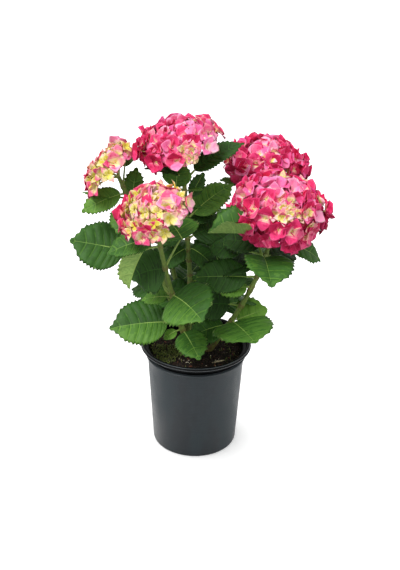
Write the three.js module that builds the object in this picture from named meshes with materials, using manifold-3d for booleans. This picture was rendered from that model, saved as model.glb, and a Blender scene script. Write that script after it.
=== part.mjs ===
// A mophead hydrangea in its nursery pot: the pot, the soil, six canes from one crown,
// a flower head on five of them, and uneven foliage masses set in turn up the canes.
// Millimetres, +Z up, the pot's underside on Z = 0, the viewer's side towards -Y.
import * as THREE from 'three';
import { mergeVertices } from 'three/addons/utils/BufferGeometryUtils.js';
import Module from 'manifold-3d';

const wasm = await Module();
wasm.setup();

// ---------------------------------------------------------------- driving dimensions

const CLEARANCE = 0.3;

// Points closer than this are one point of a solid.
const WELD = 0.001;

// Halvings of a cane's length when a height is looked up on it.
const HALVINGS = 30;

const pot = {
  rimRadius: 82.5,
  height: 165.4,
  lipHeight: 4.8,
  lipRound: 1,
  throatRadius: 76.5,
  ledgeRadius: 75,
  ledgeHeight: 148,
  ledgeDepth: 3,
  footRadius: 63.5,
  footRound: 2.5,
  wall: 2.2,
  floor: 3,
  segments: 32,
};

const soil = {
  edgeHeight: 149,
  crownHeight: 152,
  segments: 24,
};

const cane = {
  baseRadius: 4.2,
  topRadius: 2.8,
  sides: 7,
  steps: 8,
};

// Each cane: where it leaves the soil, a point half way, and its top inside the head.
const canes = {
  front_left: { foot: [-8, -12], middle: [-34, -46, 262], top: [-56, -86, 388] },
  middle: { foot: [-4, 4], middle: [-12, 8, 285], top: [-24, 22, 446] },
  front_right: { foot: [20, -4], middle: [76, -22, 262], top: [102, -32, 360] },
  back_right: { foot: [12, 14], middle: [50, 60, 270], top: [96, 106, 385] },
  left: { foot: [-12, 6], middle: [-62, 14, 290], top: [-114, 17, 418] },
  back_left: { foot: [-6, 16], middle: [-34, 52, 245], top: [-56, 84, 335] },
};

// Each head: its centre, the radius of its widest ring, its height above and below that
// ring, and the sideways lean of its axis.
const heads = {
  front_left: { at: [-55, -90, 403], radius: 57, above: 36, below: 24, lean: [-0.42, -0.4] },
  middle: { at: [-24, 22, 461], radius: 70, above: 44, below: 24, lean: [-0.05, -0.1] },
  front_right: { at: [109, -32, 388], radius: 68, above: 50, below: 54, lean: [0.15, -0.3] },
  back_right: { at: [99, 108, 404], radius: 66, above: 44, below: 33, lean: [0.1, 0.05] },
  left: { at: [-124, 16, 428], radius: 42, above: 26, below: 18, lean: [-1, -0.2] },
};

// Heads wider than this are open and pink; smaller ones are still cream.
const matureRadius = 60;

const head = {
  rings: 6,
  sides: 13,
  lobes: 5,
  lobeDepth: 0.06,
  lobeTwist: 2,
};

const mass = {
  stalkRadius: 2.6,
  tipRadius: 1.5,
  rings: 6,
  sides: 7,
  widestAt: 0.4,
  bluntness: 1.3,
  unevenness: 0.09,
  swellStep: 5,
  seedStep: 3,
  ringStep: 2,
  sideStep: 3,
};

// Each foliage mass leaves its cane at `height`, heading `heading` degrees round from +X
// (the viewer's side is -90), on a stalk that climbs at `lift`. Its leaves fill a pad
// `reach` long, `spread` wide and `depth` thick; it sets out at `rise`, ends at `droop`
// and is turned about its own length by `roll`, all in degrees.
const fields = [
  'height', 'heading', 'stalk', 'lift', 'reach', 'spread', 'depth', 'rise', 'droop', 'roll',
];
const foliage = {
  front_left: {
    low_left: [212, 187, 18, 5, 86, 70, 18, 2, -12, -38],
    low_front: [196, -62, 6, 0, 60, 44, 14, -6, -26, 15],
    centre_front: [264, -50, 6, 0, 80, 74, 20, 6, -20, 35],
    hanging_left: [312, 182, 3, 0, 64, 66, 20, 0, -30, -66],
    under_left_head: [362, 183, 8, 0, 66, 46, 16, -6, -34, -25],
    under_front_head: [336, 15, 28, 46, 50, 50, 16, 5, -12, 10],
  },
  left: {
    far_left: [300, 180, 32, 6, 88, 72, 18, 12, 10, -45],
    upper_left: [372, 180, 14, 0, 48, 42, 14, 4, -6, -38],
    behind_left_head: [382, 165, 16, 0, 54, 30, 10, 4, 0, 0],
    upright_left: [374, 60, 4, 45, 44, 26, 10, 72, 60, 20],
    front_of_left: [372, -110, 6, 0, 50, 40, 14, -10, -50, 0],
    back_left_side: [330, 105, 14, 10, 70, 60, 26, 10, -34, -10],
  },
  middle: {
    inner_middle: [312, -60, 6, 10, 44, 64, 26, -10, -60, 0],
    upper_middle: [350, 25, 14, 40, 70, 46, 16, 40, 14, 20],
    top_right: [404, 15, 24, 52, 74, 42, 14, 36, 12, 20],
    back_low: [200, 90, 6, 0, 84, 70, 32, 2, -22, 0],
    back_middle: [270, 70, 10, 5, 80, 70, 32, 5, -30, 0],
    back_high: [350, 110, 12, 15, 74, 62, 28, 10, -35, 0],
  },
  front_right: {
    low_right: [208, -64, 6, 0, 78, 86, 20, 8, -8, 20],
    low_right_side: [208, 12, 8, 5, 48, 52, 16, 18, 12, 48],
    low_inner: [200, 190, 8, 0, 56, 46, 18, -8, -32, -30],
    inner_right: [234, 165, 8, 0, 58, 54, 22, 0, -24, -50],
    centre_right: [278, 176, 12, 0, 80, 60, 22, 0, -6, -50],
    right_front: [326, -90, 8, 0, 74, 80, 18, 0, -30, -6],
    far_right: [334, 0, 26, 0, 50, 46, 14, -10, -50, 15],
    upper_right: [352, 178, 14, 20, 66, 58, 20, 10, -22, -22],
    inner_right_high: [318, 160, 34, 5, 50, 46, 20, 5, -10, -20],
    right_side_low: [240, 55, 8, 0, 46, 46, 20, -5, -30, 20],
    right_side: [300, 65, 10, 0, 64, 58, 26, 5, -30, 20],
  },
  back_right: {
    back_right_low: [205, 30, 6, 0, 76, 64, 30, 0, -22, 15],
    back_right: [225, 125, 8, 0, 88, 74, 32, 4, -30, 0],
    back_right_inner: [292, 190, 8, 5, 66, 58, 28, 0, -20, -30],
    back_right_side: [280, 20, 8, 5, 66, 60, 30, 4, -34, 10],
    back_right_high: [325, 105, 10, 5, 84, 70, 30, 8, -36, 0],
    back_right_far: [345, 0, 10, 10, 66, 56, 24, 5, -38, 10],
    back_right_top: [362, 95, 10, 20, 60, 50, 20, 15, -30, 0],
    under_back_head: [370, 195, 8, 10, 58, 42, 14, 25, 10, 0],
  },
  back_left: {
    back_left_low: [205, 150, 6, 0, 84, 68, 30, 0, -28, -15],
    back_left: [235, 60, 8, 0, 84, 70, 30, 4, -32, 10],
    back_left_inner: [258, 170, 8, 5, 66, 60, 26, 5, -35, -25],
    back_left_high: [300, 105, 8, 5, 84, 72, 32, 8, -36, 0],
    back_left_top: [322, 20, 8, 20, 66, 56, 26, 15, -25, 5],
  },
};

// ---------------------------------------------------------------- materials

function finish(color, roughness) {
  return new THREE.MeshStandardMaterial({ color, roughness, metalness: 0 });
}

const potPlastic = finish(0x3a3f42, 0.42);
const soilMix = finish(0x2a211b, 0.95);
const caneBark = finish(0x8a9a4c, 0.6);
const leafGreen = finish(0x3f6b2a, 0.5);
const sepalPink = finish(0xe0437f, 0.6);
const sepalCream = finish(0xe8a9a0, 0.6);

// ---------------------------------------------------------------- meshes and cuts

// A closed skin over rings of points, each ring with the same number of points and
// turning anticlockwise seen from the last ring, with a point at each end.
function skin(start, rings, end) {
  const sides = rings[0].length;
  const points = [start, ...rings.flat(), end];
  const last = points.length - 1;
  const index = [];
  for (let side = 0; side < sides; side += 1) {
    const next = (side + 1) % sides;
    index.push(0, 1 + next, 1 + side);
    for (let ring = 0; ring < rings.length - 1; ring += 1) {
      const low = 1 + ring * sides;
      const high = low + sides;
      index.push(low + side, low + next, high + next);
      index.push(low + side, high + next, high + side);
    }
    const top = 1 + (rings.length - 1) * sides;
    index.push(last, top + side, top + next);
  }
  const geometry = new THREE.BufferGeometry().setFromPoints(points);
  geometry.setIndex(index);
  geometry.computeVertexNormals();
  return geometry;
}

function toSolid(geometry) {
  const bare = geometry.clone();
  bare.deleteAttribute('normal');
  bare.deleteAttribute('uv');
  const merged = mergeVertices(bare, WELD);
  return new wasm.Manifold(new wasm.Mesh({
    numProp: 3,
    vertProperties: new Float32Array(merged.attributes.position.array),
    triVerts: new Uint32Array(merged.index.array),
  }));
}

function toGeometry(solid) {
  const { vertProperties, triVerts } = solid.getMesh();
  const geometry = new THREE.BufferGeometry();
  geometry.setAttribute('position', new THREE.BufferAttribute(vertProperties, 3));
  geometry.setIndex(new THREE.BufferAttribute(triVerts, 1));
  geometry.computeVertexNormals();
  return geometry;
}

// The piece of a cut solid that stays: the one with the most volume.
function largestPiece(solid) {
  const pieces = solid.decompose();
  return pieces.reduce((best, piece) => (piece.volume() > best.volume() ? piece : best));
}

function node(name, geometry, material) {
  const mesh = new THREE.Mesh(geometry, material);
  mesh.name = name;
  return mesh;
}

// ---------------------------------------------------------------- pot and soil

function potGeometry() {
  const lipUnder = pot.height - pot.lipHeight;
  const innerRim = pot.throatRadius + CLEARANCE;
  const profile = [
    [0, 0],
    [pot.footRadius - pot.footRound, 0],
    [pot.footRadius, pot.footRound],
    [pot.ledgeRadius - pot.wall, pot.ledgeHeight - pot.ledgeDepth],
    [pot.ledgeRadius, pot.ledgeHeight - pot.ledgeDepth / 2],
    [pot.ledgeRadius, pot.ledgeHeight],
    [pot.throatRadius, lipUnder],
    [pot.rimRadius - pot.lipRound, lipUnder],
    [pot.rimRadius, lipUnder + pot.lipRound],
    [pot.rimRadius, pot.height - pot.lipRound],
    [pot.rimRadius - pot.lipRound, pot.height],
    [innerRim, pot.height],
    [pot.throatRadius - pot.wall, lipUnder - pot.wall],
    [pot.ledgeRadius - 2 * pot.wall, pot.ledgeHeight - pot.ledgeDepth],
    [pot.footRadius - pot.wall, pot.floor],
    [0, pot.floor],
  ];
  return new THREE.LatheGeometry(profile.map(([r, z]) => new THREE.Vector2(r, z)), pot.segments)
    .rotateX(Math.PI / 2);
}

function soilGeometry() {
  const floor = pot.floor + CLEARANCE;
  const shoulder = pot.ledgeHeight - pot.ledgeDepth;
  const footRadius = pot.footRadius - pot.wall - 2 * CLEARANCE;
  const shoulderRadius = pot.ledgeRadius - 2 * pot.wall - 2 * CLEARANCE;
  const profile = [
    [0, floor],
    [footRadius, floor],
    [shoulderRadius, shoulder],
    [shoulderRadius, soil.edgeHeight],
    [shoulderRadius / 2, soil.crownHeight],
    [0, soil.crownHeight],
  ];
  return new THREE.LatheGeometry(profile.map(([r, z]) => new THREE.Vector2(r, z)), soil.segments)
    .rotateX(Math.PI / 2);
}

// ---------------------------------------------------------------- canes

// The curve of a cane through its three named points, from the top of the soil.
function caneCurve({ foot, middle, top }) {
  const start = new THREE.Vector3(foot[0], foot[1], soil.crownHeight + CLEARANCE);
  const end = new THREE.Vector3(...top);
  const pull = new THREE.Vector3(...middle).multiplyScalar(2)
    .sub(start.clone().add(end).multiplyScalar(0.5));
  return new THREE.QuadraticBezierCurve3(start, pull, end);
}

// The point of a cane at a given height.
function canePoint(curve, height) {
  let low = 0;
  let high = 1;
  for (let step = 0; step < HALVINGS; step += 1) {
    const half = (low + high) / 2;
    if (curve.getPoint(half).z < height) low = half;
    else high = half;
  }
  return curve.getPoint(low);
}

// A tapering cane with level rings, so that its foot is a flat cut.
function caneGeometry(curve, grown = 0) {
  const rings = [];
  for (let step = 0; step <= cane.steps; step += 1) {
    const along = step / cane.steps;
    const centre = curve.getPoint(along);
    const radius = THREE.MathUtils.lerp(cane.baseRadius, cane.topRadius, along) + grown;
    const ring = [];
    for (let side = 0; side < cane.sides; side += 1) {
      const turn = (2 * Math.PI * side) / cane.sides;
      ring.push(new THREE.Vector3(Math.cos(turn), Math.sin(turn), 0)
        .multiplyScalar(radius).add(centre));
    }
    rings.push(ring);
  }
  return skin(curve.getPoint(0), rings, curve.getPoint(1));
}

// ---------------------------------------------------------------- flower heads

// A lobed dome, flatter below than above, about its leaning axis.
function headGeometry({ at, radius, above, below, lean }, grown = 0) {
  const axis = new THREE.Vector3(lean[0], lean[1], 1).normalize();
  const frame = new THREE.Quaternion().setFromUnitVectors(new THREE.Vector3(0, 0, 1), axis);
  const centre = new THREE.Vector3(...at);
  const place = (x, y, z) => new THREE.Vector3(x, y, z).applyQuaternion(frame).add(centre);
  const rings = [];
  for (let ring = 1; ring <= head.rings; ring += 1) {
    const polar = Math.PI * (ring / (head.rings + 1) - 0.5);
    const height = Math.sin(polar) * ((polar > 0 ? above : below) + grown);
    const points = [];
    for (let side = 0; side < head.sides; side += 1) {
      const turn = (2 * Math.PI * side) / head.sides;
      const lobe = 1 + head.lobeDepth * Math.cos(head.lobes * turn + head.lobeTwist * polar);
      const out = Math.cos(polar) * radius * lobe + grown;
      points.push(place(out * Math.cos(turn), out * Math.sin(turn), height));
    }
    rings.push(points);
  }
  return skin(place(0, 0, -below - grown), rings, place(0, 0, above + grown));
}

// ---------------------------------------------------------------- foliage masses

// Half the width of a mass as a share of its spread: broad below the middle, then a point.
function outline(along) {
  return along < mass.widestAt
    ? Math.sqrt(1 - ((mass.widestAt - along) / mass.widestAt) ** 2)
    : Math.cos((Math.PI / 2) * ((along - mass.widestAt) / (1 - mass.widestAt)) ** mass.bluntness);
}

// The path of a mass from its cane: a straight stalk, then a blade that arches over.
function massPath(curve, plan) {
  const degrees = THREE.MathUtils.degToRad;
  const heading = degrees(plan.heading);
  const along = (angle) => new THREE.Vector3(
    Math.cos(angle) * Math.cos(heading),
    Math.cos(angle) * Math.sin(heading),
    Math.sin(angle),
  );
  const side = new THREE.Vector3(Math.sin(heading), -Math.cos(heading), 0);
  const root = canePoint(curve, plan.height);
  const stalk = along(degrees(plan.lift));
  const stations = [{ at: root, tangent: stalk, share: 0 }];
  let at = root.clone().addScaledVector(stalk, plan.stalk);
  for (let ring = 0; ring <= mass.rings; ring += 1) {
    const share = ring / mass.rings;
    const tangent = along(degrees(THREE.MathUtils.lerp(plan.rise, plan.droop, share)));
    stations.push({ at, tangent, share });
    at = at.clone().addScaledVector(tangent, plan.reach / mass.rings);
  }
  return stations.map((station) => {
    const wide = side.clone().applyAxisAngle(station.tangent, degrees(plan.roll));
    return { ...station, wide, thick: station.tangent.clone().cross(wide) };
  });
}

// An uneven pad of leaves along its path, with flattened rings.
function massGeometry(curve, plan, seed, grown = 0) {
  const stations = massPath(curve, plan);
  const rings = stations.map(({ at, wide, thick, share }, index) => {
    const blade = index > 0 && index < stations.length - 1;
    const swell = 1 + mass.unevenness * Math.sin(seed + mass.swellStep * index);
    const least = index < 2 ? mass.stalkRadius : mass.tipRadius;
    const halfWidth = Math.max(least, blade ? swell * outline(share) * plan.spread / 2 : 0);
    const halfThick = Math.max(least, blade ? swell * outline(share) * plan.depth / 2 : 0);
    const ring = [];
    for (let side = 0; side < mass.sides; side += 1) {
      const turn = (2 * Math.PI * side) / mass.sides;
      const phase = mass.seedStep * seed + mass.ringStep * index + mass.sideStep * side;
      const uneven = 1 + mass.unevenness * Math.sin(phase);
      ring.push(at.clone()
        .addScaledVector(wide, Math.cos(turn) * (halfWidth * uneven + grown))
        .addScaledVector(thick, Math.sin(turn) * (halfThick * uneven + grown)));
    }
    return ring;
  });
  return skin(stations[0].at, rings, stations[stations.length - 1].at);
}

// ---------------------------------------------------------------- assembly

const plant = new THREE.Group();
plant.add(node('pot', potGeometry(), potPlastic));
plant.add(node('soil', soilGeometry(), soilMix));

const curves = {};
const taken = [];
for (const [name, points] of Object.entries(canes)) {
  curves[name] = caneCurve(points);
}

for (const [name, size] of Object.entries(heads)) {
  const whole = toSolid(headGeometry(size));
  const solid = taken.length > 0 ? largestPiece(whole.subtract(wasm.Manifold.union(taken))) : whole;
  taken.push(toSolid(headGeometry(size, CLEARANCE)));
  const petals = size.radius > matureRadius ? sepalPink : sepalCream;
  plant.add(node(`head_${name}`, toGeometry(solid), petals));
}

for (const [name, curve] of Object.entries(curves)) {
  const whole = toSolid(caneGeometry(curve));
  const limb = largestPiece(whole.subtract(wasm.Manifold.union(taken)));
  plant.add(node(`cane_${name}`, toGeometry(limb), caneBark));
}
for (const curve of Object.values(curves)) {
  taken.push(toSolid(caneGeometry(curve, CLEARANCE)));
}

let seed = 0;
for (const [caneName, plans] of Object.entries(foliage)) {
  for (const [name, numbers] of Object.entries(plans)) {
    const plan = Object.fromEntries(fields.map((field, index) => [field, numbers[index]]));
    seed += 1;
    const whole = toSolid(massGeometry(curves[caneName], plan, seed));
    const solid = largestPiece(whole.subtract(wasm.Manifold.union(taken)));
    taken.push(toSolid(massGeometry(curves[caneName], plan, seed, CLEARANCE)));
    plant.add(node(`foliage_${name}`, toGeometry(solid), leafGreen));
  }
}

export default plant;
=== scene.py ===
import functools
import math
from typing import NamedTuple

import bmesh
import bpy
import numpy as np
from bpy.props import FloatProperty, FloatVectorProperty, IntProperty, PointerProperty
from mathutils import Matrix, Vector, noise
from mathutils.bvhtree import BVHTree


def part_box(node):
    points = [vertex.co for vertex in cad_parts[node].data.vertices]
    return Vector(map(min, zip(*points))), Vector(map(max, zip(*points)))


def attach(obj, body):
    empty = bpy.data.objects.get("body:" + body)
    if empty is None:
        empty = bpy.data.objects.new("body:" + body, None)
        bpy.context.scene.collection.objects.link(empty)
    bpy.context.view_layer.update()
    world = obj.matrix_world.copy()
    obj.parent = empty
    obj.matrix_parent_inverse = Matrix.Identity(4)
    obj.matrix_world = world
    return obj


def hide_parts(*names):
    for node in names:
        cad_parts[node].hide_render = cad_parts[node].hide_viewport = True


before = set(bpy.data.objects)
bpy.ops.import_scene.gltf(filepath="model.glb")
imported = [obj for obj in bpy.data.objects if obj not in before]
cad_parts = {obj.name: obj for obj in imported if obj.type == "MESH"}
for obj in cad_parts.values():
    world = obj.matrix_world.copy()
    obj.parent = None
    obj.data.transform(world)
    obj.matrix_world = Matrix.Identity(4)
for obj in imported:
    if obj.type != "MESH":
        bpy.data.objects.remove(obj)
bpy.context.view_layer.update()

bl_info = {
    "name": "Potted mophead hydrangea",
    "version": (1, 0, 0),
    "blender": (4, 5, 0),
    "location": "View3D > Sidebar > Hydrangea",
    "description": "Grows the leaves, florets, canes, soil and pot of a hydrangea on its frame",
    "category": "Add Mesh",
}

# The plant's tables are in millimetres and degrees; the frame is in metres.
MM = 0.001
BODY = "root"
GOLDEN_ANGLE = math.pi * (3 - math.sqrt(5))


# ---------------------------------------------------------------- settings

def linear(code):
    """The scene-linear colour of an sRGB hex code."""
    parts = [int(code[at:at + 2], 16) / 255 for at in (1, 3, 5)]
    return tuple(p / 12.92 if p <= 0.04045 else ((p + 0.055) / 1.055) ** 2.4 for p in parts)


def size(name, description, millimetres):
    return FloatProperty(name=name, description=description, default=millimetres * MM,
                         min=0.0, unit="LENGTH", precision=4)


def amount(name, description, default):
    return FloatProperty(name=name, description=description, default=default, min=0.0)


def angle(name, description, degrees):
    return FloatProperty(name=name, description=description,
                         default=math.radians(degrees), subtype="ANGLE")


def count(name, description, default):
    return IntProperty(name=name, description=description, default=default, min=1)


def colour(name, description, code):
    return FloatVectorProperty(name=name, description=description, subtype="COLOR",
                               size=3, min=0.0, max=1.0, default=linear(code))


class PotSettings(bpy.types.PropertyGroup):
    height: FloatProperty(
        name="Height", description="Height of the rim over the ground",
        default=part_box("pot")[1].z, unit="LENGTH", precision=4)
    rim_radius: FloatProperty(
        name="Rim radius", description="Outside radius of the rolled rim",
        default=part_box("pot")[1].x, unit="LENGTH", precision=4)
    lip: size("Lip", "Height of the rim's outer edge", 4.8)
    throat_radius: size("Throat radius", "Radius under the rim", 76.5)
    ledge_radius: size("Ledge radius", "Radius of the stacking ledge", 75)
    ledge_height: size("Ledge height", "Height of the stacking ledge", 148)
    foot_radius: size("Foot radius", "Radius on the ground", 63.5)
    groove: size("Groove", "Depth of the groove between the rim and the ledge", 6)
    wall: size("Wall", "Thickness of the moulded wall", 2.2)
    floor: size("Floor", "Thickness of the floor", 3)
    segments: count("Segments", "Sides of the turned shell", 160)
    plastic: colour("Plastic", "Charcoal plastic", "#0d1215")
    # The rim colour is a painted shade: plastic darkened in the groove, on the lip and on the inner
    # wall.
    rim: colour("Rim", "Shadowed, darker plastic over the ledge", "#040506")
    # The edge colour is a painted highlight along the edges of rim and ledge.
    edge: colour("Highlit edge", "Lighter, worn plastic along the edges of rim and ledge", "#3d4447")
    scuff: colour("Scuffs", "Dry dust and scuffs on the plastic", "#283033")
    sheen: colour("Sheen", "Cool tint of the plastic's highlights", "#eef6ff")


class SoilSettings(bpy.types.PropertyGroup):
    relief: size("Relief", "Height of the lumps of the soil's surface", 2.6)
    crumbs: count("Crumbs", "Number of loose crumbs of peat", 760)
    chips: count("Chips", "Number of chips of bark", 120)
    grains: count("Grains", "Number of white perlite grains", 90)
    moss_blades: count("Moss", "Number of blades in the moss", 430)
    peat: colour("Peat", "Damp peat", "#16100b")
    humus: colour("Humus", "Drier peat", "#3b2c24")
    bark: colour("Bark", "Reddish bark chips", "#683a28")
    perlite: colour("Perlite", "White grains", "#ddd2ba")
    moss: colour("Moss", "Olive moss", "#6d7a3c")
    moss_tip: colour("Moss tips", "Fresh blades of the moss", "#86904b")
    twig: colour("Twig", "Dry twig", "#b7a98c")


class CaneSettings(bpy.types.PropertyGroup):
    ring_spacing: size("Ring spacing", "Distance between the rings of the bark", 2)
    sides: count("Sides", "Sides of a cane", 18)
    node_swelling: size("Node swelling", "How far a cane swells where leaves leave it", 1.0)
    flare: size("Flare", "How far a cane flares at the soil", 1.8)
    ridge: size("Ridge", "Height of the ridges along a cane", 0.14)
    petiole_radius: size("Leaf stalk radius", "Radius of a leaf stalk at the cane", 2.0)
    green: colour("Green bark", "Young bark", "#7a9142")
    shade: colour("Shaded bark", "Darker streaks of the young bark", "#5c7132")
    node: colour("Node bark", "Browner bark at the nodes", "#736a38")
    fleck: colour("Flecks", "Corky flecks on the bark", "#8d5a45")
    wood: colour("Woody bark", "Old bark at the foot", "#6b5a34")
    petiole: colour("Leaf stalk", "Leaf stalks", "#86a24a")


class LeafSettings(bpy.types.PropertyGroup):
    thickness: size("Thickness", "Thickness of a blade", 0.42)
    tooth: size("Teeth", "Depth of the teeth of the margin", 2.9)
    tooth_spacing: size("Tooth spacing", "Distance between the teeth", 4.6)
    pucker: size("Pucker", "Height of the blade between its side veins", 1.55)
    wave: angle("Wave", "Waviness of the margin", 10)
    rib: size("Midrib", "Half the width of the midrib", 0.72)
    dark: colour("Dark blade", "Darkest green of a blade", "#203a16")
    middle: colour("Blade", "Usual green of a blade", "#3a6524")
    light: colour("Light blade", "Fresh green of a blade", "#6c9a38")
    midrib: colour("Midrib", "Midrib, where it is thickest", "#98b95c")
    midrib_tip: colour("Midrib tip", "Midrib towards the tip of the blade", "#759a45")
    underside: colour("Underside", "Usual green of the underside", "#6d9644")
    underside_light: colour("Light underside", "Palest green of the underside", "#a2c366")


class FloretSettings(bpy.types.PropertyGroup):
    thickness: size("Thickness", "Thickness of a sepal", 0.36)
    open_width: size("Open floret", "Width of a ripe floret", 38)
    young_width: size("Young floret", "Width of a floret that is still cream", 30)
    jitter: angle("Jitter", "How far a floret leans away from the head's surface", 16)
    outward: amount("Outward", "How far florets turn from the head's surface to the side", 0.9)
    lime: colour("Lime", "Youngest sepals", "#ddd24e")
    cream: colour("Cream", "Centre of a floret", "#f9eab2")
    blush: colour("Blush", "Pale ring round the centre", "#ffb8ae")
    # The deepest pinks also stand for painted shade on florets turned down.
    coral: colour("Coral", "Warm pink of the lower florets", "#f97c9c")
    hot: colour("Hot pink", "Strong pink of the lower florets", "#f0427f")
    deep: colour("Deep pink", "Deepest pink of the lower florets", "#cf2459")
    # Shell, orchid, rose and magenta are paler copies of the pinks, dealt to sepals turned up to the
    # light: a painted highlight.
    shell: colour("Shell pink", "Pale pink of the upper florets", "#fec0d6")
    orchid: colour("Orchid", "Pink of the upper florets", "#fc92bf")
    rose: colour("Rose", "Stronger pink of the upper florets", "#f468a4")
    magenta: colour("Magenta", "Deepest pink of the upper florets", "#e8488f")
    stalk: colour("Floret stalk", "Stalks of the florets", "#a9b86a")


class StageSettings(bpy.types.PropertyGroup):
    camera: FloatVectorProperty(name="Camera", description="Where the camera stands", size=3,
                                subtype="TRANSLATION", default=(0.0042, -1.2, 0.851))
    tilt: angle("Camera tilt", "Tilt of the camera up from straight down", 63.7)
    roll: angle("Camera roll", "Roll of the camera", 1.2)
    lens: amount("Lens", "Focal length in millimetres", 58.36)
    sky: amount("Sky", "Strength of the light from all round", 0.62)
    ground: amount("Ground", "Light from below, as a share of the sky's", 0.45)
    key: amount("Key", "Strength of the key light", 2.6)
    fill: amount("Fill", "Strength of the fill light", 0.7)
    floor_light: amount("Floor light", "Strength of the floor's own light", 3.1)
    floor: colour("Floor", "Pale floor", "#f6f6f6")
    glow: amount("Glow", "How far the floor glows of itself", 0.28)


# ---------------------------------------------------------------- shader graphs

class Value:
    """A shader socket that arithmetic works on: each operation adds its Math node."""

    def __init__(self, graph, socket):
        self.graph = graph
        self.socket = socket

    def __add__(self, other):
        return self.graph.math("ADD", self, other)

    def __sub__(self, other):
        return self.graph.math("SUBTRACT", self, other)

    def __rsub__(self, other):
        return self.graph.math("SUBTRACT", other, self)

    def __mul__(self, other):
        return self.graph.math("MULTIPLY", self, other)

    __radd__ = __add__
    __rmul__ = __mul__


class Graph:
    """A node tree, and the expressions that add nodes to it."""

    def __init__(self, tree):
        self.tree = tree

    def set(self, node, socket, value):
        """Links a socket to a Value, or gives it a plain number or colour."""
        target = node.inputs[socket]
        if isinstance(value, Value):
            self.tree.links.new(value.socket, target)
        elif target.type == "RGBA":
            target.default_value = (*value[:3], 1.0)
        else:
            target.default_value = value

    def node(self, kind, settings, sockets, output=0):
        """Adds a node: its settings are set first, then the values or links of its sockets."""
        made = self.tree.nodes.new(kind)
        for name, value in settings.items():
            if name == "stops":
                for element, (position, level) in zip(made.color_ramp.elements, value):
                    element.position = position
                    element.color = (level, level, level, 1.0)
            else:
                setattr(made, name, value)
        for name, value in sockets.items():
            self.set(made, name, value)
        return Value(self, made.outputs[output])

    def math(self, operation, *terms):
        return self.node("ShaderNodeMath", {"operation": operation}, dict(enumerate(terms)))

    def noise(self, scale, detail=3.0, rough=0.55, squeeze=(1.0, 1.0, 1.0)):
        """Noise over the object: scale lumps to the metre, squeezed along each axis."""
        point = self.node("ShaderNodeTexCoord", {}, {}, "Object")
        point = self.node("ShaderNodeVectorMath", {"operation": "MULTIPLY"}, {0: point, 1: squeeze})
        return self.node("ShaderNodeTexNoise", {},
                         {"Vector": point, "Scale": scale, "Detail": detail, "Roughness": rough})

    def ramp(self, value, low, high):
        """A ramp between two stops, each a position and a level."""
        return self.node("ShaderNodeValToRGB", {"stops": (low, high)}, {"Fac": value})

    def blend(self, mask, first, second):
        return self.node("ShaderNodeMix", {"data_type": "RGBA"}, {0: mask, 6: first, 7: second}, 2)

    def bump(self, height, distance):
        return self.node("ShaderNodeBump", {}, {"Height": height, "Distance": distance})


class Finish(Graph):
    """The node tree of a new material, round one Principled shader."""

    def __init__(self, name, **sockets):
        self.material = bpy.data.materials.new(name)
        self.material.use_nodes = True
        super().__init__(self.material.node_tree)
        self.shader = self.tree.nodes["Principled BSDF"]
        self.feed(**sockets)

    def feed(self, **sockets):
        """Gives the shader's sockets their values or links."""
        for socket, value in sockets.items():
            self.set(self.shader, socket.replace("_", " "), value)
        return self.material


def plain(name, tint, roughness, **sockets):
    """A material of one base colour, to be dealt out by face."""
    return Finish(name, Base_Color=tint, Roughness=roughness, **sockets).material


def nearest(level, steps):
    """The number of the shade nearest to a level from 0 to 1."""
    return np.clip(np.round(level * (steps - 1)), 0, steps - 1).astype(int)


def shades(name, stops, steps, roughness, **sockets):
    """Plain materials whose colours are evenly spaced along a line of colour stops."""
    stops = np.array([tuple(stop) for stop in stops])
    at = np.linspace(0, len(stops) - 1, steps)
    tints = np.stack([np.interp(at, range(len(stops)), part) for part in stops.T], -1)
    return [plain(f"{name}_{i}", tint, roughness, **sockets) for i, tint in enumerate(tints)]


# ---------------------------------------------------------------- mesh making

class Skin:
    """Gathers patches of faces into one mesh whose faces each keep their tone."""

    def __init__(self):
        self.points = []
        self.faces = []
        self.tones = []
        self.count = 0

    def add(self, points, faces, tones):
        """Adds points and their faces. tones is one material index, or one for each face."""
        self.points.append(np.asarray(points, float).reshape(-1, 3))
        self.faces.extend([tuple(int(corner) + self.count for corner in face) for face in faces])
        self.tones.append(np.broadcast_to(tones, len(faces)).astype(int))
        self.count += len(self.points[-1])

    def piece(self, name, materials, nodes=()):
        """Makes the mesh a piece of the object, standing for the named CAD nodes."""
        mesh = bpy.data.meshes.new(name)
        mesh.from_pydata(np.concatenate(self.points).tolist(), [], self.faces)
        for material in materials:
            mesh.materials.append(material)
        mesh.polygons.foreach_set("material_index", np.concatenate(self.tones))
        mesh.polygons.foreach_set("use_smooth", np.ones(len(mesh.polygons), bool))
        mesh.update()
        made = bpy.data.objects.new(name, mesh)
        bpy.context.scene.collection.objects.link(made)
        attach(made, BODY)
        if nodes:
            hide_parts(*nodes)


def unit(vectors):
    """Vectors brought to a length of 1."""
    vectors = np.asarray(vectors, float)
    return vectors / np.maximum(np.linalg.norm(vectors, axis=-1, keepdims=True), 1e-9)


def smooth(values, low, high):
    """0 below low, 1 above high, and a smooth rise between."""
    part = np.clip((np.asarray(values, float) - low) / (high - low), 0, 1)
    return part * part * (3 - 2 * part)


def closed_faces(rings, sides):
    """Quads between rings of points, then triangles from the end rings to two last points."""
    faces = []
    for low in range(0, (rings - 1) * sides, sides):
        for side in range(sides):
            beside = (side + 1) % sides
            faces.append((low + side, low + beside, low + sides + beside, low + sides + side))
    first, top = rings * sides, (rings - 1) * sides
    for side in range(sides):
        beside = (side + 1) % sides
        faces.append((first, beside, side))
        faces.append((first + 1, top + side, top + beside))
    return faces


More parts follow.
